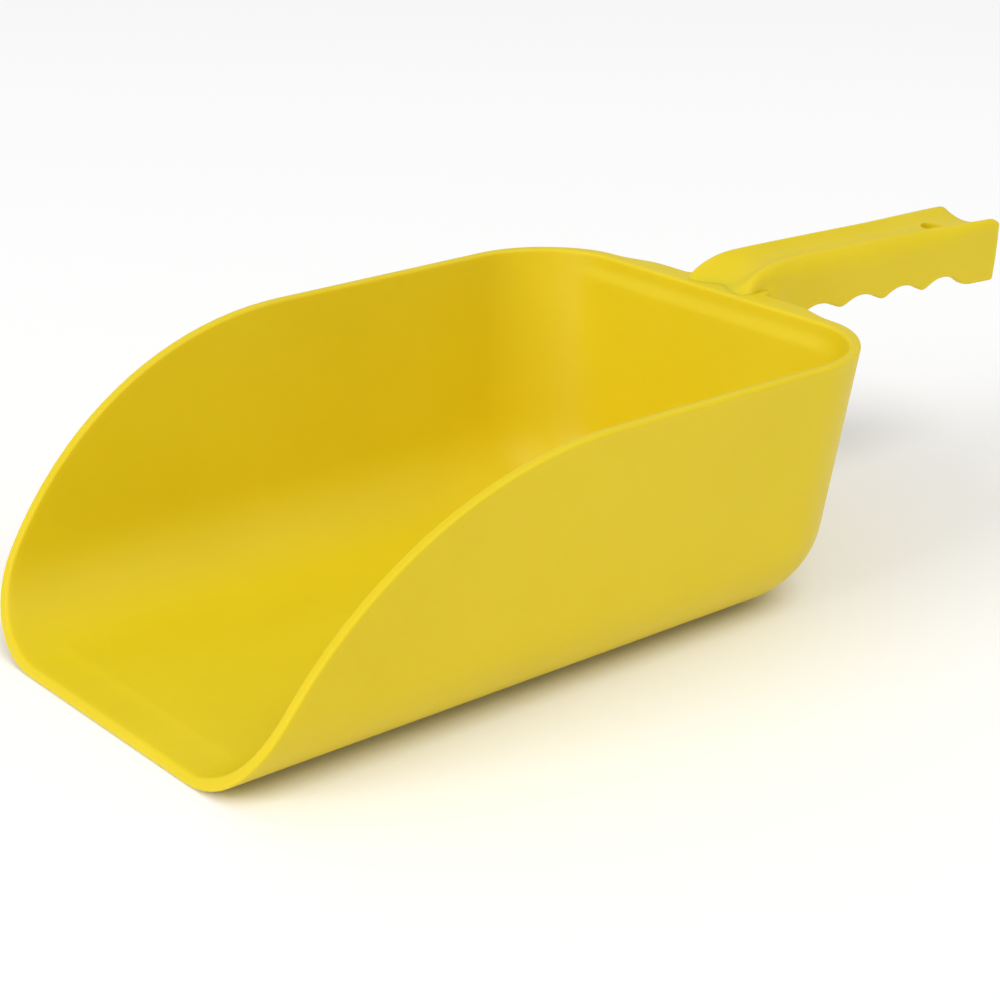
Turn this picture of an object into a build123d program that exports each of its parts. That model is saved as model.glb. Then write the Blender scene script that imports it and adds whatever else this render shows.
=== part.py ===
from build123d import *
import math
import os

# Hand scoop for grain and feed: a deep open-fronted bowl and a channel handle, moulded in one shot
# in polypropylene. Each node below is one named region of that moulding, and every region meets
# its neighbours face to face. The bowl opens to -Y, the handle points to +Y, +Z is up.
# The origin is under the middle of the overall length, on the flat floor's underside.

# --- overall sizes, mm ---
scoop_length = 351.0
rim_width = 160.0
rim_height = 81.7
bowl_length = 227.6          # lip tip to the rear rim corners
base_width = 137.8           # where the side walls would meet the floor plane
base_length = 219.3          # lip tip to where the rear wall would meet the floor plane

# --- bowl shell ---
side_wall = 3.4
floor_thickness = 3.6
rear_wall_at_base = 4.0
rear_wall_at_rim = 5.4
outer_radius = 30.9          # rolled edges of the outside
roll_half_angle = 41.1       # half the turn of the rolled edges, from floor to leaning wall
side_floor_radius = 27.5     # inside, side wall to floor
rear_radius = 22.5           # inside, rear wall to side wall and to floor
mouth_radius = 123.0         # the side profile of the mouth is one arc, level where it meets the rim
mouth_length = 115.8         # lip tip to where the arc meets the rim
mouth_middle_angle = 125.0   # about half way along the arc, seen from its centre
lip_depth = 13.5             # thin leading strip of the floor
lip_tip_thickness = 2.8
lip_step = 0.3

# --- rear rim ledge and the shallow pocket under it ---
ledge_overhang = 5.2
ledge_thickness = 5.0
ledge_flat_half = 31.0
ledge_end_radius = 45.8
ledge_end_reach = 22.0
pocket_half = 53.5
pocket_height = 6.0
pocket_depth = 1.8

# --- handle ---
handle_half = 12.8
handle_wall = 3.0
root_start = -1.5            # handle stations are measured from the rear rim corners
root_end = 16.0
hollow_start = 1.0
root_half = 14.7
root_taper = 0.9             # narrowing of the root up to root_rise_station
root_rise = 4.0              # height of the rise at root_rise_station
root_rise_station = 5.5
crest_at_root = 7.4          # top of the uncut section above the rim, at root_end
crest_slope = 0.032
section_depth = 30.0         # more than the handle is deep
shoulder_radius = 5.0
ridge_radius = 1.5
hollow_radius = 2.5
end_radius = 3.0
trough_radius = 17.4
trough_depth = 2.7
underside_at_rim = 11.0
underside_slope = 0.055
groove_first = 34.3
groove_pitch = 19.85
groove_count = 4
groove_radius = 13.0
groove_roof_at_rim = 8.8
groove_roof_slope = 0.036
hole_station = 101.7
hole_radius = 4.0

lip_y = -scoop_length / 2
rim_y = lip_y + bowl_length
handle_end = scoop_length - bowl_length
floor_half = base_width / 2 - outer_radius * math.tan(math.radians(roll_half_angle))
rear_split = lip_y + base_length - outer_radius
ledge_floor = rim_height - ledge_thickness - 2.0
ledge_half = 60.0
above_floor = 20.0           # cutting depth that clears the floor, and clears the root below the rim
beyond = 20.0                # how far cutting shapes pass the rim and the handle's end
overrun = 40.0


def box_between(low, high):
    """Axis-aligned box from its lowest to its highest corner."""
    size = [b - a for a, b in zip(low, high)]
    centre = [(a + b) / 2 for a, b in zip(low, high)]
    return Pos(*centre) * Box(*size)


def flared_block(half_at_base, half_at_rim, rear_at_base, rear_at_rim, bottom, top):
    """Block whose side and rear faces lean outwards, with its front beyond the lip."""
    def half(z):
        return half_at_base + (half_at_rim - half_at_base) * z / rim_height

    def rear(z):
        return lip_y + rear_at_base + (rear_at_rim - rear_at_base) * z / rim_height

    front = lip_y - overrun
    across = make_face(Polyline((-half(bottom), bottom), (half(bottom), bottom), (half(top), top),
                                (-half(top), top), close=True))
    along = make_face(Polyline((front, bottom), (rear(bottom), bottom), (rear(top), top),
                               (front, top), close=True))
    cross_section = extrude(Plane.XZ * across, scoop_length, both=True)
    return cross_section & extrude(Plane.YZ * along, rim_width, both=True)


def round_edges(block, bottom, side_radius, back_radius):
    """Roll the side walls into the floor, then the whole rear wall into the sides and floor."""
    sides = block.edges().filter_by(Axis.Y).filter_by(lambda e: abs(e.center().Z - bottom) < 0.01)
    block = fillet(sides, side_radius)
    rear_face = block.faces().sort_by(Axis.Y)[-1]
    top = rear_face.edges().sort_by(Axis.Z)[-1]
    border = [edge for edge in rear_face.edges() if edge.center().Z < top.center().Z - 0.01]
    return fillet(border, back_radius)


def mouth_profile():
    """Everything behind the arc of the mouth and below the rim, as a slab across X."""
    arc_y = lip_y + mouth_length
    tip = (lip_y, 0)
    middle_angle = math.radians(mouth_middle_angle)
    centre_z = rim_height - mouth_radius
    middle = (arc_y + mouth_radius * math.cos(middle_angle), centre_z + mouth_radius * math.sin(middle_angle))
    edge = ThreePointArc(tip, middle, (arc_y, rim_height))
    rest = Polyline((arc_y, rim_height), (rim_y + beyond, rim_height), (rim_y + beyond, 0), tip)
    face = make_face([edge, rest])
    return extrude(Plane.YZ * face, rim_width, both=True)


def bowl_shell():
    """The open bowl with its thin lip, before it is divided."""
    outside = flared_block(base_width / 2, rim_width / 2, base_length, bowl_length, 0, rim_height)
    outside = round_edges(outside, 0, outer_radius, outer_radius - 0.5)
    inner_base = base_width / 2 - side_wall
    inner_rim = rim_width / 2 - side_wall
    inside = flared_block(inner_base, inner_rim, base_length - rear_wall_at_base,
                          bowl_length - rear_wall_at_rim, floor_thickness, rim_height + 1)
    inside = round_edges(inside, floor_thickness, side_floor_radius, rear_radius)
    return (outside - inside) & mouth_profile()


def rear_ledge():
    """Flat ledge behind the rim, nearly straight, with large arcs running into the corners."""
    inner = rim_y - rear_wall_at_rim
    outer = rim_y + ledge_overhang
    bend = ledge_end_radius
    reach = ledge_end_reach
    drop = bend - math.sqrt(bend ** 2 - reach ** 2)
    half_way = bend - math.sqrt(bend ** 2 - (reach / 2) ** 2)
    end = ledge_flat_half + reach
    middle = ledge_flat_half + reach / 2
    edges = [
        Line((-end, inner), (end, inner)),
        Line((end, inner), (end, outer - drop)),
        ThreePointArc((end, outer - drop), (middle, outer - half_way), (ledge_flat_half, outer)),
        Line((ledge_flat_half, outer), (-ledge_flat_half, outer)),
        ThreePointArc((-ledge_flat_half, outer), (-middle, outer - half_way), (-end, outer - drop)),
        Line((-end, outer - drop), (-end, inner)),
    ]
    return extrude(Pos(0, 0, rim_height - ledge_thickness) * make_face(edges), ledge_thickness)


def rim_pocket():
    """Shallow pocket in the inner face of the rear wall, open at the rim."""
    inner = rim_y - rear_wall_at_rim
    low = (-pocket_half, inner - 5, rim_height - pocket_height)
    high = (pocket_half, inner + pocket_depth, rim_height + 1)
    return box_between(low, high)


def lip_wedge():
    """What is cut away above the flat part of the lip, down to its thin tip."""
    back = lip_y + lip_depth
    face = make_face(Polyline((lip_y - 1, lip_tip_thickness), (back, floor_thickness - lip_step),
                              (back, floor_thickness + 1), (lip_y - 1, floor_thickness + 1), close=True))
    return extrude(Plane.YZ * face, floor_half, both=True)


def bowl_regions():
    """The bowl with its ledge, divided where floor, walls, corners, lip and rear rim meet."""
    shell = bowl_shell() - rim_pocket() - lip_wedge()
    corner_y = lip_y - 1
    far_y = rim_y + beyond
    rim_band = box_between((-ledge_half, rim_y - outer_radius, ledge_floor),
                           (ledge_half, far_y, rim_height + 1))
    below_rim = shell - rim_band
    lip_end = lip_y + lip_depth
    regions = {
        "front_lip": box_between((-floor_half, corner_y, -1), (floor_half, lip_end, above_floor)),
        "bowl_floor": box_between((-floor_half, lip_end, -1), (floor_half, rear_split, above_floor)),
        "rear_wall": box_between((-floor_half, rear_split, -1), (floor_half, far_y, rim_height + 1)),
        "left_side_wall": box_between((-rim_width, corner_y, -1), (-floor_half, rear_split, rim_height + 1)),
        "right_side_wall": box_between((floor_half, corner_y, -1), (rim_width, rear_split, rim_height + 1)),
        "left_rear_corner": box_between((-rim_width, rear_split, -1), (-floor_half, far_y, rim_height + 1)),
        "right_rear_corner": box_between((floor_half, rear_split, -1), (rim_width, far_y, rim_height + 1)),
    }
    pieces = {name: below_rim & region for name, region in regions.items()}
    pieces["rear_rim"] = (shell & rim_band) + (rear_ledge() - rim_pocket())
    return pieces


def section_top(station):
    """Height of the uncut handle section at a distance behind the rear rim corners."""
    return rim_height + crest_at_root - crest_slope * (station - root_end)


def along_handle(face_at_root, start, end):
    """Carry a section drawn at root_end along the handle's gently falling line."""
    fall = Vector(0, 1, -crest_slope)
    start_plane = Plane(origin=(0, rim_y + start, section_top(start)), x_dir=(-1, 0, 0), z_dir=(0, 1, 0))
    return extrude(start_plane * face_at_root, (end - start) * fall.length, dir=fall)


def handle_section():
    """Outer section, top at zero: two soft shoulders with a shallow trough between them."""
    block = Pos(0, -section_depth / 2) * Rectangle(2 * handle_half, section_depth)
    block = fillet(block.vertices().group_by(Axis.Y)[-1], shoulder_radius)
    trough = Pos(0, trough_radius - trough_depth) * Circle(trough_radius)
    section = block - trough
    return fillet(section.vertices().group_by(Axis.Y)[-1], ridge_radius)


def cavity_section():
    """Hollow underside of the channel."""
    half = handle_half - handle_wall
    roof = -trough_depth - handle_wall
    block = Pos(0, roof - section_depth / 2) * Rectangle(2 * half, section_depth)
    return fillet(block.vertices().group_by(Axis.Y)[-1], hollow_radius)


def grip_cut():
    """Everything under the handle's lower edges, with the finger grooves."""
    start, end = -beyond, handle_end + beyond
    low = rim_height - 2 * section_depth

    def underside(station):
        return rim_height - underside_at_rim - underside_slope * station

    face = make_face(Polyline((rim_y + start, underside(start)), (rim_y + end, underside(end)),
                              (rim_y + end, low), (rim_y + start, low), close=True))
    cut = extrude(Plane.YZ * face, overrun, both=True)
    for number in range(groove_count):
        station = groove_first + groove_pitch * number
        roof = rim_height - groove_roof_at_rim - groove_roof_slope * station
        groove = Pos(0, rim_y + station, roof - groove_radius) * Rot(0, 90, 0)
        cut += groove * Cylinder(groove_radius, 2 * overrun)
    return cut


def rounded_end():
    """Plan outline of the handle, with rounded corners at its free end."""
    length = handle_end - root_end
    outline = Pos(0, rim_y + root_end + length / 2) * Rectangle(2 * handle_half, length)
    outline = fillet(outline.vertices().group_by(Axis.Y)[-1], end_radius)
    return extrude(Pos(0, 0, rim_height - 2 * section_depth) * outline, 4 * section_depth)


def root_block():
    """Flared root that rises from the rear ledge into the handle."""
    def slab(station, half, top):
        low = rim_height - above_floor
        plane = Plane(origin=(0, rim_y + station, (top + low) / 2), x_dir=(-1, 0, 0), z_dir=(0, 1, 0))
        return plane * Rectangle(2 * half, top - low)
    return loft([slab(root_start, root_half, rim_height + 0.2),
                 slab(root_rise_station, root_half - root_taper, rim_height + root_rise / 2),
                 slab(root_end, handle_half, section_top(root_end) - trough_depth)], ruled=True)


def root_hump():
    """The handle's own section carried forward to the rim, under a convex rise."""
    start, end = rim_y + root_start, rim_y + root_end
    rise = ThreePointArc((start, rim_height), (rim_y + root_rise_station, rim_height + root_rise),
                         (end, section_top(root_end)))
    low = rim_height - above_floor
    rest = Polyline((end, section_top(root_end)), (end, low), (start, low), (start, rim_height))
    below = extrude(Plane.YZ * make_face([rise, rest]), handle_half + 5, both=True)
    return along_handle(handle_section(), root_start, root_end) & below


def handle_regions(rim, wall):
    """The channel handle, divided into its root, top web, side walls and end wall."""
    under = grip_cut()
    body = along_handle(handle_section(), root_end, handle_end)
    body = (body & rounded_end()) - under
    hollow = along_handle(cavity_section(), hollow_start, handle_end - handle_wall)
    hole = Pos(0, rim_y + hole_station, rim_height) * Cylinder(hole_radius, overrun)
    root = root_block() + root_hump() - under - hollow - rim - wall
    body = body - hollow - hole
    half = handle_half - handle_wall
    end_y = rim_y + handle_end - handle_wall
    low, high = rim_height - overrun, rim_height + beyond
    grip_y = rim_y + root_end
    web = extrude(Plane.YZ * make_face(Polyline(
        (grip_y, section_top(root_end) - trough_depth - handle_wall),
        (end_y, section_top(handle_end - handle_wall) - trough_depth - handle_wall),
        (end_y, high), (grip_y, high), close=True)), overrun, both=True)
    end_block = box_between((-overrun, end_y, low), (overrun, end_y + beyond, high))
    sides = body - web - end_block
    return {
        "handle_root": root,
        "handle_top": body & web,
        "handle_left_wall": sides & box_between((-overrun, rim_y, low), (0, end_y, high)),
        "handle_right_wall": sides & box_between((0, rim_y, low), (overrun, end_y, high)),
        "handle_end_wall": body & end_block,
    }


os.makedirs("parts", exist_ok=True)
pieces = bowl_regions()
pieces.update(handle_regions(pieces["rear_rim"], pieces["rear_wall"]))
for name, piece in pieces.items():
    export_step(piece, f"parts/{name}.step")
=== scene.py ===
import math

import bmesh
import bpy
from mathutils import Matrix, Vector


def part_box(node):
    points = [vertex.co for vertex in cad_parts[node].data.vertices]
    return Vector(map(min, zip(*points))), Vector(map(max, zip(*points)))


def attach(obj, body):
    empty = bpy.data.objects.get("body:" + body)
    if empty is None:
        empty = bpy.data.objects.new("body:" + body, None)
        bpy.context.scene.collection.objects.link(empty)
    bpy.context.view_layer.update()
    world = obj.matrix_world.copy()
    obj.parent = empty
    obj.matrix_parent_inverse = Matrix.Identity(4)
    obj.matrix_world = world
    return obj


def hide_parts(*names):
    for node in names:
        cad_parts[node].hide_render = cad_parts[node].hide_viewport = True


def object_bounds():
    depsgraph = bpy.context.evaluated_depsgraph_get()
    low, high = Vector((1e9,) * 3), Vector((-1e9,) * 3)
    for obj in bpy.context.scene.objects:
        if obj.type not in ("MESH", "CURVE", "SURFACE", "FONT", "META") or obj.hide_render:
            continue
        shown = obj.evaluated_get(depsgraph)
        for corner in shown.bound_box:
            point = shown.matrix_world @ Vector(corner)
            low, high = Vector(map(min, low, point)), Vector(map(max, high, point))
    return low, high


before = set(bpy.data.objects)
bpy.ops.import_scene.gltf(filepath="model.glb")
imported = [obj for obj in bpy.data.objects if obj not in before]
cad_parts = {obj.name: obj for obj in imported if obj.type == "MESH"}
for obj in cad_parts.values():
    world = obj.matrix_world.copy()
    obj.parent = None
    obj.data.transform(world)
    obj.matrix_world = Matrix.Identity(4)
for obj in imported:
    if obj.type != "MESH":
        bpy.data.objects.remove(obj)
box_low, box_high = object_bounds()
mm = 0.001


# ---------------------------------------------------------------------------------------------
# Bowl. The open half of the scoop, moulded in yellow polypropylene together with the handle.
# Flat floor, leaning side and rear walls with large rolled edges, a mouth cut to one long arc,
# a thin lip, and a rear rim that widens into a ledge, with a shallow recess along its inside.
# ---------------------------------------------------------------------------------------------
lip_y = box_low.y / mm                                   # bowl sizes are in millimetres
rim_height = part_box("left_side_wall")[1].z / mm
rim_half = box_high.x / mm
bowl_length = 227.6
mouth_radius = 123.0
mouth_centre_y = 114.9                                   # behind the lip tip, where the arc turns level
mouth_squash = 0.9907                                    # the arc is a little shorter than it is high
mouth_centre_z = rim_height - mouth_radius
edge_rounding = 0.9
corner_on_floor = 2.5
side_length = 188.0                                      # of a side wall, from the lip to the rear corner

along, around, across = 64, 20, 80                       # mesh steps: side walls, corners, rear wall
roll_rows, wall_rows = 12, 9
roll_turn = math.radians(82)                             # turn of a rolled edge that the roll rows cover
level_share = 0.68                                       # of the rim's height, with level rows at the mouth
lip_ease = 6.0                                           # height over which the mouth's inset comes in


class Skin:
    """One face of the bowl's wall, outside or inside: leaning walls rolled into a flat floor."""

    def __init__(self, floor, half_base, half_rim, rear_base, rear_rim, side_roll, rear_roll, upright):
        self.floor = floor
        self.side = self.rolled(half_base, half_rim, side_roll)
        self.back = self.rolled(rear_base, rear_rim, rear_roll)
        self.upright = upright
        self.side_roll = side_roll

    def rolled(self, at_base, at_rim, roll):
        slope = (at_rim - at_base) / rim_height
        centre = at_base + slope * (self.floor + roll) - roll * math.hypot(1, slope)
        lean = math.atan(slope)
        top = self.floor + roll * (1 - math.sin(lean))
        return at_base, slope, centre, roll, top

    def reach(self, wall, z):
        """Distance of the wall from the middle plane or the lip, at a height."""
        at_base, slope, centre, roll, top = wall
        if z >= top:
            return at_base + slope * z
        return centre + math.sqrt(max(0, roll ** 2 - (roll - (z - self.floor)) ** 2))

    def half(self, z):
        return self.reach(self.side, z)

    def rear(self, z):
        return self.reach(self.back, z)

    def corner(self, z):
        """Plan radius of the upright corner, which closes almost to a point on the floor."""
        centre, roll, top = self.back[2:]
        full = self.reach(self.back, top) - centre
        share = min(1, (self.rear(min(z, top)) - centre) / full)
        return corner_on_floor + (self.upright - corner_on_floor) * share


def smooth(value, start, end):
    """0 at start, 1 at end, easing in between; end may be less than start."""
    share = min(1, max(0, (value - start) / (end - start)))
    return share * share * (3 - 2 * share)


def mouth_y(z, inset):
    """The mouth's edge at a height, or a line inset from it on the wall."""
    radius = mouth_radius - inset
    rise = min(radius, z - mouth_centre_z)
    return mouth_centre_y - mouth_squash * math.sqrt(radius ** 2 - rise ** 2)


def roll_heights(skin, upper):
    """Row heights at the rear: even steps round the rolled edge, then the given upper ones."""
    steps = []
    for step in range(roll_rows + 1):
        turn = roll_turn * step / roll_rows
        steps.append(skin.floor + skin.side_roll * (1 - math.cos(turn)))
    start, end = steps[-1], rim_height + upper[0]
    for step in range(1, wall_rows):
        steps.append(start + (end - start) * step / wall_rows)
    return steps + [rim_height + drop for drop in upper]


def front_heights(heights):
    """Row heights at the mouth: level up to two thirds, then even steps along the arc."""
    level = [z for z in heights if z < level_share * rim_height]
    start = math.asin((level[-1] - mouth_centre_z) / mouth_radius)
    count = len(heights) - len(level)
    turns = [start + (math.pi / 2 - start) * (step + 1) / count for step in range(count)]
    return level + [mouth_centre_z + mouth_radius * math.sin(turn) for turn in turns]


def side_shares():
    """Fractions along the side wall, with close steps where the lip meets the floor."""
    near = [0, 2, 4, 6.5, 9, 11, 12.4, 13.1, 13.5, 13.9, 14.4, 15.2, 17, 20]
    rest = along - len(near) + 1
    far = [near[-1] + (side_length - near[-1]) * step / rest for step in range(1, rest + 1)]
    return [place / side_length for place in near + far]


shares = side_shares()


def bowl_rows(skin, heights, inset, finish):
    """Rows of points from the floor's edge to the rim, each a U from mouth to rear to mouth."""
    rows = []
    fronts = front_heights(heights)
    top = rim_height - inset
    for number, (rear_z, front_z) in enumerate(zip(heights, fronts)):
        rear_z = min(rear_z, top) if number < len(heights) - 1 else top
        climb = (front_z - mouth_centre_z) / mouth_radius
        ease = min(1, (front_z - skin.floor) / lip_ease)
        front_z = front_z - inset * climb * ease
        front_y = mouth_y(front_z, inset)
        corner = skin.corner(rear_z)
        half, rear = skin.half(rear_z), skin.rear(rear_z)
        straight = []
        for share in shares:
            z = front_z + (rear_z - front_z) * share
            y = front_y + (rear - corner - front_y) * share
            straight.append((skin.half(z), y, z))
        arc = []
        for step in range(1, around + 1):
            turn = math.pi / 2 * step / around
            arc.append((half - corner + corner * math.cos(turn),
                        rear - corner + corner * math.sin(turn), rear_z))
        inner = half - corner
        row = [(-x, y, z) for x, y, z in straight + arc]
        row += [(-inner + 2 * inner * step / across, rear, rear_z) for step in range(1, across)]
        row += list(reversed(arc)) + list(reversed(straight))
        rows.append([finish(*point) for point in row])
    return rows


def bowl_floor(skin, inset, finish):
    """Grid of points on the flat floor, between the two side rolls and in front of the rear one."""
    half = skin.half(skin.floor) - corner_on_floor
    rear = skin.rear(skin.floor) - corner_on_floor
    front = mouth_y(skin.floor, inset)
    grid = []
    for share in shares:
        y = front + (rear - front) * share
        places = [-half + 2 * half * step / across for step in range(across + 1)]
        grid.append([finish(x, y, skin.floor) for x in places])
    return grid


def sheet_faces(rows, grid, start):
    """Faces of one skin. Point numbers run through the rows first and then the floor grid."""
    length = len(rows[0])
    base = start + len(rows) * length
    steps = len(grid) - 1
    wide = len(grid[0]) - 1
    bend = (length - 1 - 2 * steps - wide) // 2

    def wall(row, place):
        return start + row * length + place

    def flat(line, place):
        return base + line * (wide + 1) + place

    faces = []
    for row in range(len(rows) - 1):
        for place in range(length - 1):
            faces.append((wall(row, place), wall(row, place + 1), wall(row + 1, place + 1),
                          wall(row + 1, place)))
    for line in range(steps):
        for place in range(wide):
            faces.append((flat(line, place), flat(line, place + 1), flat(line + 1, place + 1),
                          flat(line + 1, place)))
        faces.append((wall(0, line), flat(line, 0), flat(line + 1, 0), wall(0, line + 1)))
        far = length - 1 - line
        faces.append((wall(0, far), wall(0, far - 1), flat(line + 1, wide), flat(line, wide)))
    for step in range(bend):
        faces.append((wall(0, steps + step), flat(steps, 0), wall(0, steps + step + 1)))
        far = length - 1 - steps - step
        faces.append((wall(0, far), wall(0, far - 1), flat(steps, wide)))
    for place in range(wide):
        here = steps + bend + place
        faces.append((wall(0, here), flat(steps, place), flat(steps, place + 1), wall(0, here + 1)))
    loop = [wall(len(rows) - 1, place) for place in range(length)]
    loop += [wall(row, length - 1) for row in range(len(rows) - 2, -1, -1)]
    loop += [flat(0, place) for place in range(wide, -1, -1)]
    loop += [wall(row, 0) for row in range(len(rows) - 1)]
    return faces, loop


crease_angle = math.radians(50)                          # edges that turn more are shaded sharp


def closed_shell(name, outer, outer_sharp, inner, inner_sharp, radius, bend_steps=5, flat_steps=3):
    """Joins an outer and an inner skin with a rounded edge all round, into one closed mesh.

    The sharp versions give the corners that the edge would have without its rounding.
    """
    def flatten(skin):
        rows, grid = skin
        return [Vector(p) for line in rows + grid for p in line]

    points = flatten(outer)
    outer_faces, outer_loop = sheet_faces(*outer, 0)
    shift = len(points)
    inner_points = flatten(inner)
    inner_faces, inner_loop = sheet_faces(*inner, shift)
    points += inner_points
    sharp_out, sharp_in = flatten(outer_sharp), flatten(inner_sharp)
    strips = []
    for out_number, in_number in zip(outer_loop, inner_loop):
        corner_out, corner_in = sharp_out[out_number], sharp_in[in_number - shift]
        across_edge = (corner_in - corner_out).normalized() * radius
        down_out = points[out_number] - corner_out
        down_in = points[in_number] - corner_in
        strip = [out_number]
        for step in range(1, bend_steps + 1):
            turn = math.pi / 2 * step / bend_steps
            down, over = 1 - math.sin(turn), 1 - math.cos(turn)
            points.append(corner_out + down_out * down + across_edge * over)
            strip.append(len(points) - 1)
        start, end = corner_out + across_edge, corner_in - across_edge
        for step in range(1, flat_steps):
            points.append(start.lerp(end, step / flat_steps))
            strip.append(len(points) - 1)
        for step in range(bend_steps, 0, -1):
            turn = math.pi / 2 * step / bend_steps
            down, over = 1 - math.sin(turn), 1 - math.cos(turn)
            points.append(corner_in + down_in * down - across_edge * over)
            strip.append(len(points) - 1)
        strip.append(in_number)
        strips.append(strip)
    faces = outer_faces + inner_faces
    for number, strip in enumerate(strips):
        following = strips[(number + 1) % len(strips)]
        for a, b, c, d in zip(strip, strip[1:], following[1:], following):
            faces.append((a, b, c, d))
    mesh = bpy.data.meshes.new(name)
    mesh.from_pydata([p * mm for p in points], [], faces)
    shape = bmesh.new()
    shape.from_mesh(mesh)
    bmesh.ops.recalc_face_normals(shape, faces=shape.faces)
    shape.to_mesh(mesh)
    shape.free()
    mesh.shade_smooth()
    mesh.set_sharp_from_angle(angle=crease_angle)
    piece = bpy.data.objects.new(name, mesh)
    bpy.context.scene.collection.objects.link(piece)
    return piece


ledge_depth = 5.2                                        # of the flat stretch behind the rim
ledge_full, ledge_narrow = 30, 49                        # half widths between which it narrows to a strip
corner_strip = 1.3
strip_full, strip_end = 52, 72                           # half widths between which the strip runs out
ledge_thickness, ledge_foot = 5.0, 6.2                   # its underside curves back into the wall
root_half = 14.7                                         # where the handle's root stands on the ledge
gusset_start, gusset_radius = 11, 4.5
rear_stretch = 40                                        # length of the bowl that the rear features stay in
band_depth = 1.5                                         # the rear wall is thicker below the rim
band_top, band_foot = 3.6, 8.4                           # depths below the rim where it starts and is full
band_full, band_end = 46, 60                             # half widths between which it runs out
lip_depth, lip_fade = 13.5, (13.3, 13.9)                 # thin leading strip, and where its step rises
lip_step, lip_taper = 0.3, 0.5
lip_full, lip_end = 47, 49                               # half widths between which both run out
lip_reach, lip_top = 16, 8                               # how far back and up the lip's thinning can go


def ledge_reach(x):
    """How far the ledge stands out from the rim, with a small web beside the handle's root."""
    place = abs(x)
    reach = (ledge_depth - corner_strip) * smooth(place, ledge_narrow, ledge_full)
    reach += corner_strip * smooth(place, strip_end, strip_full)
    past = min(gusset_radius, max(0, root_half + gusset_radius - place))
    web = gusset_radius - math.sqrt(gusset_radius ** 2 - past ** 2)
    return reach + web * smooth(place, gusset_start, root_half)


def outside_finish(x, y, z):
    """Adds the ledge behind the rear rim to a point of the outer skin."""
    centre_x, centre_y = rim_half - outer_skin.upright, bowl_length - outer_skin.upright
    under = smooth(z, rim_height - ledge_foot, rim_height - ledge_thickness)
    if y > centre_y and under > 0:
        across_part = max(0, abs(x) - centre_x)
        push = ledge_reach(x) * under / math.hypot(across_part, y - centre_y)
        x += math.copysign(across_part, x) * push
        y += (y - centre_y) * push
    return x, lip_y + y, z


def inside_finish(x, y, z):
    """Adds the thicker band of the rear wall and the thin lip to a point of the inner skin."""
    if y > bowl_length - rear_stretch:
        share = smooth(z, rim_height - band_top, rim_height - band_foot) * smooth(abs(x), band_end, band_full)
        y -= band_depth * z / rim_height * share
    if y < lip_reach and z < lip_top:
        inside = smooth(abs(x), lip_end, lip_full)
        step = lip_step * smooth(y, lip_fade[1], lip_fade[0])
        taper = lip_taper * max(0, 1 - y / lip_depth)
        z -= (step + taper) * inside
    return x, lip_y + y, z


base_half, base_length = 68.9, 219.3                     # where the walls would meet the floor's plane
floor_thickness, side_wall = 3.6, 3.4
rear_wall_low, rear_wall_high = 4.0, 3.6

outer_skin = Skin(floor=0, half_base=base_half, half_rim=rim_half, rear_base=base_length,
                  rear_rim=bowl_length, side_roll=30.9, rear_roll=30.4, upright=32.0)
inner_skin = Skin(floor=floor_thickness, half_base=base_half - side_wall, half_rim=rim_half - side_wall,
                  rear_base=base_length - rear_wall_low, rear_rim=bowl_length - rear_wall_high,
                  side_roll=27.5, rear_roll=22.5, upright=28.5)
outer_heights = roll_heights(outer_skin, [-8, -7, -6.2, -5.9, -5.6, -5.3, -5.0, -4.7, -4, -3, -2, 0])
inner_heights = roll_heights(inner_skin, [-9.5, -8.4, -7.5, -6.9, -6.3, -5.7, -5.1, -4.5, -4, -3, -1.8, 0])


def bowl_skin(skin, heights, inset, finish):
    return bowl_rows(skin, heights, inset, finish), bowl_floor(skin, inset, finish)


bowl = closed_shell("bowl",
                    bowl_skin(outer_skin, outer_heights, edge_rounding, outside_finish),
                    bowl_skin(outer_skin, outer_heights, 0, outside_finish),
                    bowl_skin(inner_skin, inner_heights, edge_rounding, inside_finish),
                    bowl_skin(inner_skin, inner_heights, 0, inside_finish),
                    edge_rounding)


deep_yellow, pale_yellow = (0.712, 0.550, 0.008, 1), (0.741, 0.577, 0.011, 1)
sheen_rough, dull_rough = 0.40, 0.50
cloud_scale, patch_scale, grain_scale = 22, 60, 1800


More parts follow.
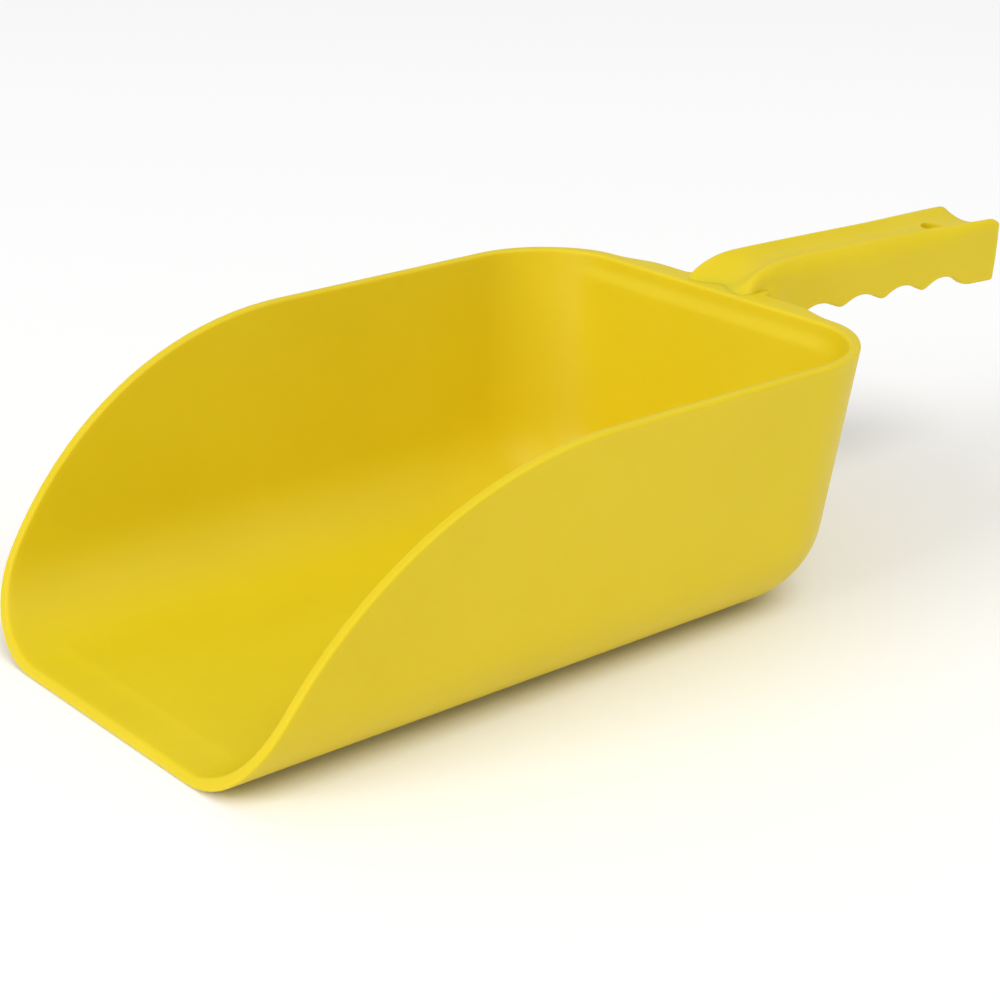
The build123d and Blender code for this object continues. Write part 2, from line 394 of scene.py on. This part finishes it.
def yellow_polypropylene():
    """Satin moulded plastic: slight cloudiness in the colour, duller patches, fine mould grain."""
    material = bpy.data.materials.new("yellow_polypropylene")
    material.use_nodes = True
    nodes, links = material.node_tree.nodes, material.node_tree.links
    nodes.clear()
    output = nodes.new("ShaderNodeOutputMaterial")
    plastic = nodes.new("ShaderNodeBsdfPrincipled")
    plastic.inputs["IOR"].default_value = 1.49
    plastic.inputs["Specular IOR Level"].default_value = 0.26
    plastic.inputs["Subsurface Weight"].default_value = 0.3
    plastic.inputs["Subsurface Radius"].default_value = (1.0, 0.55, 0.08)
    plastic.inputs["Subsurface Scale"].default_value = 0.004
    links.new(plastic.outputs["BSDF"], output.inputs["Surface"])
    place = nodes.new("ShaderNodeTexCoord")

    def noise(scale, detail, roughness=0.5):
        texture = nodes.new("ShaderNodeTexNoise")
        texture.inputs["Scale"].default_value = scale
        texture.inputs["Detail"].default_value = detail
        texture.inputs["Roughness"].default_value = roughness
        links.new(place.outputs["Object"], texture.inputs["Vector"])
        return texture.outputs["Fac"]

    def ramp(source, start, end):
        fade = nodes.new("ShaderNodeMapRange")
        fade.inputs["From Min"].default_value = 0.3
        fade.inputs["From Max"].default_value = 0.7
        fade.inputs["To Min"].default_value = start
        fade.inputs["To Max"].default_value = end
        links.new(source, fade.inputs["Value"])
        return fade.outputs["Result"]

    cloud = nodes.new("ShaderNodeMix")
    cloud.data_type = "RGBA"
    cloud.inputs["A"].default_value = deep_yellow
    cloud.inputs["B"].default_value = pale_yellow
    links.new(ramp(noise(cloud_scale, 3), 0, 1), cloud.inputs["Factor"])
    links.new(cloud.outputs["Result"], plastic.inputs["Base Color"])
    links.new(ramp(noise(patch_scale, 4), sheen_rough, dull_rough), plastic.inputs["Roughness"])
    grain = nodes.new("ShaderNodeBump")
    grain.inputs["Strength"].default_value = 0.12
    grain.inputs["Distance"].default_value = 0.0002
    links.new(noise(grain_scale, 3, 0.6), grain.inputs["Height"])
    links.new(grain.outputs["Normal"], plastic.inputs["Normal"])
    return material


polypropylene = yellow_polypropylene()
bowl.data.materials.append(polypropylene)
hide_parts("front_lip", "bowl_floor", "left_side_wall", "right_side_wall",
            "left_rear_corner", "right_rear_corner", "rear_wall", "rear_rim")
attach(bowl, "root")


# ---------------------------------------------------------------------------------------------
# Handle. A channel moulded in one with the bowl, open underneath, with two soft ridges and a
# trough along the top, finger grooves in its lower edges and a hole to hang it by near its free
# end. At the root the ridges part a little, and the trough runs out on to the ledge as a ramp.
# ---------------------------------------------------------------------------------------------
handle_end = box_high.y / mm - lip_y - bowl_length       # stations are distances behind the rim corners
handle_half = 12.8
handle_wall = 3.0
handle_rounding = 0.8
root_start = -1.5
rise_start, foot_slope = -1.4, 0.25
ramp_end = 20.0
crest_station, crest = 28.0, 7.35                        # highest place of the ridges, above the rim
crest_fall, crest_bow = 0.026, 0.0001                    # slope and extra curve of the ridges behind it
trough_on_ramp, trough_at_crest = 4.9, 4.5               # of its middle: rise on the ramp, height behind it
trough_drop = 0.4                                        # it starts this much below the rim
ridge_half = 8.4                                         # distance of each ridge from the middle
ridge_root_spread, ridge_end_spread = 2.6, 3.0
shoulder_overlap, shoulder_stretch = 0.6, 1.5            # the shoulders are taller than they are wide
smallest_shoulder = 1.2
blend = 0.12                                             # softness of the line between trough and shoulder
edge_at_rim, edge_slope = -11, 0.055                     # lower edges, between the finger grooves
roof_at_rim, roof_slope = -8.8, 0.036                    # tops of the finger grooves
groove_count, groove_blend = 4, 3.2
groove_first, groove_pitch, groove_radius = 34.3, 19.85, 13.0
heel_radius, heel_start = 2.0, 3.9                       # rounding of the lower edges at the free end
hollow_corner = 2.5
hole_station, hole_radius = 101.7, 4.0
shoulder_rows, side_rows = 10, 12


def crest_height(station):
    """Top of the ridges above the rim: a quick rise at the root, then a long gentle fall."""
    if station < crest_station:
        left = (crest_station - max(station, rise_start)) / (crest_station - rise_start)
        return crest * (1 - left ** 4) + foot_slope * min(0, station - rise_start)
    past = station - crest_station
    return crest - crest_fall * past - crest_bow * past ** 2


def trough_depth(station):
    """Depth of the trough's middle below the ridges; on the ramp it follows the ramp's rise."""
    if station < ramp_end:
        return crest_height(station) + trough_drop - trough_on_ramp * smooth(station, root_start, ramp_end)
    share = (station - ramp_end) / (handle_end - ramp_end)
    return crest_height(ramp_end) - trough_at_crest + trough_drop * share


def ridge_place(station):
    """Distance of each ridge from the middle."""
    at_root = ridge_root_spread * smooth(station, 30, 0)
    at_end = ridge_end_spread * smooth(station, 70, 124)
    return ridge_half + at_root + at_end


def top_half(station):
    """Half width at the shoulders."""
    return handle_half + (root_half - handle_half) * smooth(station, 9, 0)


def low_half(station):
    """Half width at the lower edges, which spread further back at the root."""
    return handle_half + (root_half - handle_half) * smooth(station, 22, 8)


def shoulder(station):
    """Radius of the rounding between the ridge and the side."""
    return max(smallest_shoulder, top_half(station) - ridge_place(station) + shoulder_overlap)


def underside(station):
    """Lower edge below the rim: a straight fall with a scallop for each finger."""
    height = edge_at_rim - edge_slope * station
    for number in range(groove_count):
        middle = groove_first + groove_pitch * number
        reach = groove_radius ** 2 - (station - middle) ** 2
        if reach > 0:
            groove = roof_at_rim - roof_slope * middle - groove_radius + math.sqrt(reach)
            gap = groove - height
            height += (gap + math.sqrt(gap ** 2 + groove_blend)) / 2
    past = min(heel_radius, max(0, station - (handle_end - heel_start)))
    return height + heel_radius - math.sqrt(heel_radius ** 2 - past ** 2)


def side_stations():
    """Places of the cross sections, closer together on the root."""
    close, wide = 26, 86
    start, end = 17.0, handle_end - 3
    first = [root_start + (start - root_start) * step / close for step in range(close)]
    return first + [start + (end - start) * step / wide for step in range(wide + 1)]


stations = side_stations()


def section_depth(x, station):
    """Depth of the top surface below the ridges' height: the trough, and the rounded shoulders."""
    soft = shoulder(station)
    share = min(1, abs(x) / ridge_place(station))
    trough = trough_depth(station) * (1 - share ** 2)
    past = max(0, min(soft, abs(x) - (top_half(station) - soft)))
    rounded = shoulder_stretch * (soft - math.sqrt(soft ** 2 - past ** 2))
    gap = rounded - trough
    return (rounded + trough + math.sqrt(gap ** 2 + blend)) / 2


def outer_half(turn, station):
    soft = shoulder(station)
    return top_half(station) - soft + soft * math.sin(turn)


def outer_top(x, station):
    return crest_height(station) - section_depth(x, station)


def inner_half(turn, station):
    return handle_half - handle_wall - hollow_corner + hollow_corner * math.sin(turn)


def inner_top(x, station):
    past = max(0, min(hollow_corner, abs(x) - (handle_half - handle_wall - hollow_corner)))
    roof = crest_height(station) - trough_depth(station) - handle_wall
    return roof - hollow_corner + math.sqrt(hollow_corner ** 2 - past ** 2)


first_turn = 20                                          # degrees round the shoulder where its rows start
end_bow, end_bow_height = 0.016, -4.4                    # the end face bulges, most at this height
end_rounding, end_corner = 5.2, 3.4                      # of the free end: top edge, and upright corners
hollow_end = 2.0                                         # the same inside


def handle_skin(inset, half_at, top_at, spread, end_place, end_round, corner_full):
    """Rows and top grid of one skin of the handle, in the order that the bowl's skins use."""
    def end_face(z):
        return end_place - end_bow * (z - end_bow_height) ** 2

    rows = []
    for row in range(shoulder_rows + side_rows):
        over = min(1, row / (shoulder_rows - 1))
        turn = math.radians(first_turn + (90 - first_turn) * over)
        down = max(0, row - shoulder_rows + 1) / side_rows
        corner = 1 + (corner_full - 1) * over
        end_drop = end_round * (1 - math.cos(math.pi / 2 * over))
        end_back = end_round * (1 - math.sin(math.pi / 2 * over))

        def half(station):
            upper = half_at(turn, station)
            return upper + (spread(station) - upper) * smooth(down, 0, 0.4)

        def height(x, station, drop=0.0):
            top = top_at(x, station) - drop
            return top + (underside(station) + inset - top) * down

        reach = end_face(height(0, handle_end, end_drop)) - end_back
        straight = []
        for station in stations:
            share = (station - root_start) / (stations[-1] - root_start)
            place = root_start + (reach - corner - root_start) * share
            straight.append((half(place), place, height(half_at(turn, place), place)))
        flat_half = half(handle_end) - corner
        arc = []
        for step in range(1, around + 1):
            bend = math.pi / 2 * step / around
            x = flat_half + corner * math.cos(bend)
            place = reach - corner + corner * math.sin(bend)
            arc.append((x, place, height(x, place, end_drop * smooth(step, 0, around))))
        points = [(-x, s, z) for x, s, z in straight + arc]
        for step in range(1, across):
            x = -flat_half + 2 * flat_half * step / across
            points.append((x, reach, height(x, reach, end_drop)))
        points += list(reversed(arc)) + list(reversed(straight))
        rows.append(points)
    grid = []
    reach = end_face(top_at(0, handle_end)) - end_round - 1
    for station in stations:
        share = (station - root_start) / (stations[-1] - root_start)
        place = root_start + (reach - root_start) * share
        side = half_at(math.radians(first_turn), place) - 1
        steps = [-side + 2 * side * step / across for step in range(across + 1)]
        grid.append([(x, place, top_at(x, place)) for x in steps])

    def finished(lines):
        return [[(x, lip_y + bowl_length + s, rim_height + z) for x, s, z in line] for line in lines]
    return finished(rows), finished(grid)


def outer_handle(inset):
    return handle_skin(inset, outer_half, outer_top, low_half, handle_end,
                       end_rounding, end_corner)


def inner_handle(inset):
    return handle_skin(inset, inner_half, inner_top, lambda station: handle_half - handle_wall,
                       handle_end - handle_wall, hollow_end, hollow_end)


cut_crease_angle = math.radians(40)


def cut_away(piece, tool):
    """Takes the tool's volume out of a piece, for good."""
    cut = piece.modifiers.new("cut", "BOOLEAN")
    cut.operation = "DIFFERENCE"
    cut.solver = "EXACT"
    cut.object = tool
    bpy.context.view_layer.update()
    result = bpy.data.meshes.new_from_object(piece.evaluated_get(bpy.context.evaluated_depsgraph_get()))
    result.set_sharp_from_angle(angle=cut_crease_angle)
    piece.modifiers.clear()
    piece.data = result


def hole_tool():
    """Cylinder that drills the hanging hole."""
    shape = bmesh.new()
    bmesh.ops.create_cone(shape, cap_ends=True, segments=72, radius1=hole_radius * mm,
                          radius2=hole_radius * mm, depth=0.03)
    mesh = bpy.data.meshes.new("drill")
    shape.to_mesh(mesh)
    shape.free()
    drill = bpy.data.objects.new("drill", mesh)
    drill.location = (0, (lip_y + bowl_length + hole_station) * mm, (rim_height + 2) * mm)
    bpy.context.scene.collection.objects.link(drill)
    return drill


handle = closed_shell("handle", outer_handle(handle_rounding), outer_handle(0),
                      inner_handle(handle_rounding), inner_handle(0), handle_rounding)
handle.data.materials.append(polypropylene)
drill = hole_tool()
cut_away(handle, drill)
bpy.data.objects.remove(drill)
cut_away(handle, bowl)
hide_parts("handle_root", "handle_top", "handle_left_wall", "handle_right_wall",
            "handle_end_wall")
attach(handle, "root")


# ---------------------------------------------------------------------------------------------
# Studio: plain pale floor, soft light and the camera. None of it is part of the scoop.
# ---------------------------------------------------------------------------------------------
paper_white = (0.98, 0.98, 0.98, 1)
sky_strength = 0.58
front_power, right_power = 262, 200
camera_lens, camera_distance = 85.32, 0.609516


def studio_floor():
    mesh = bpy.data.meshes.new("studio_floor")
    reach = 4.0
    corners = [(-reach, -reach, 0), (reach, -reach, 0), (reach, reach, 0), (-reach, reach, 0)]
    mesh.from_pydata(corners, [], [(0, 1, 2, 3)])
    floor = bpy.data.objects.new("studio_floor", mesh)
    bpy.context.scene.collection.objects.link(floor)
    paper = bpy.data.materials.new("white_paper")
    paper.use_nodes = True
    surface = paper.node_tree.nodes["Principled BSDF"]
    surface.inputs["Base Color"].default_value = paper_white
    surface.inputs["Roughness"].default_value = 0.9
    mesh.materials.append(paper)
    floor.location.z = -0.0002


def soft_light(name, place, aim, size, power):
    lamp = bpy.data.lights.new(name, "AREA")
    lamp.shape = "DISK"
    lamp.size = size
    lamp.energy = power
    holder = bpy.data.objects.new(name, lamp)
    holder.location = place
    holder.rotation_euler = (Vector(aim) - Vector(place)).to_track_quat("-Z", "Y").to_euler()
    bpy.context.scene.collection.objects.link(holder)


def studio_world():
    world = bpy.data.worlds.new("studio")
    world.use_nodes = True
    sky = world.node_tree.nodes["Background"]
    sky.inputs["Color"].default_value = (1, 1, 1, 1)
    sky.inputs["Strength"].default_value = sky_strength
    bpy.context.scene.world = world


def studio_camera():
    """Camera in front of the mouth, to its right and above it."""
    azimuth, elevation, roll = map(math.radians, (51.08, 21.39, -0.44))
    target = Vector((75.63, lip_y + 78.35, 69.65)) * mm
    back = Vector((math.sin(azimuth) * math.cos(elevation), -math.cos(azimuth) * math.cos(elevation),
                   math.sin(elevation)))
    right = (-back).cross(Vector((0, 0, 1))).normalized()
    up = back.cross(right)
    turned_right = right * math.cos(roll) + up * math.sin(roll)
    turned_up = up * math.cos(roll) - right * math.sin(roll)
    lens = bpy.data.cameras.new("camera")
    lens.sensor_width = 36
    lens.lens = camera_lens
    lens.clip_start = 0.01
    camera = bpy.data.objects.new("camera", lens)
    camera.matrix_world = Matrix((turned_right, turned_up, back)).transposed().to_4x4()
    camera.location = target + back * camera_distance
    bpy.context.scene.collection.objects.link(camera)
    bpy.context.scene.camera = camera


studio_floor()
studio_world()
soft_light("front", (-0.4, -6.8, 3.6), (0, 0, 0), 4.8, front_power)
soft_light("high_right", (4.0, -0.4, 6.4), (0, 0, 0), 4.8, right_power)
studio_camera()
bpy.context.scene.view_settings.view_transform = "Standard"
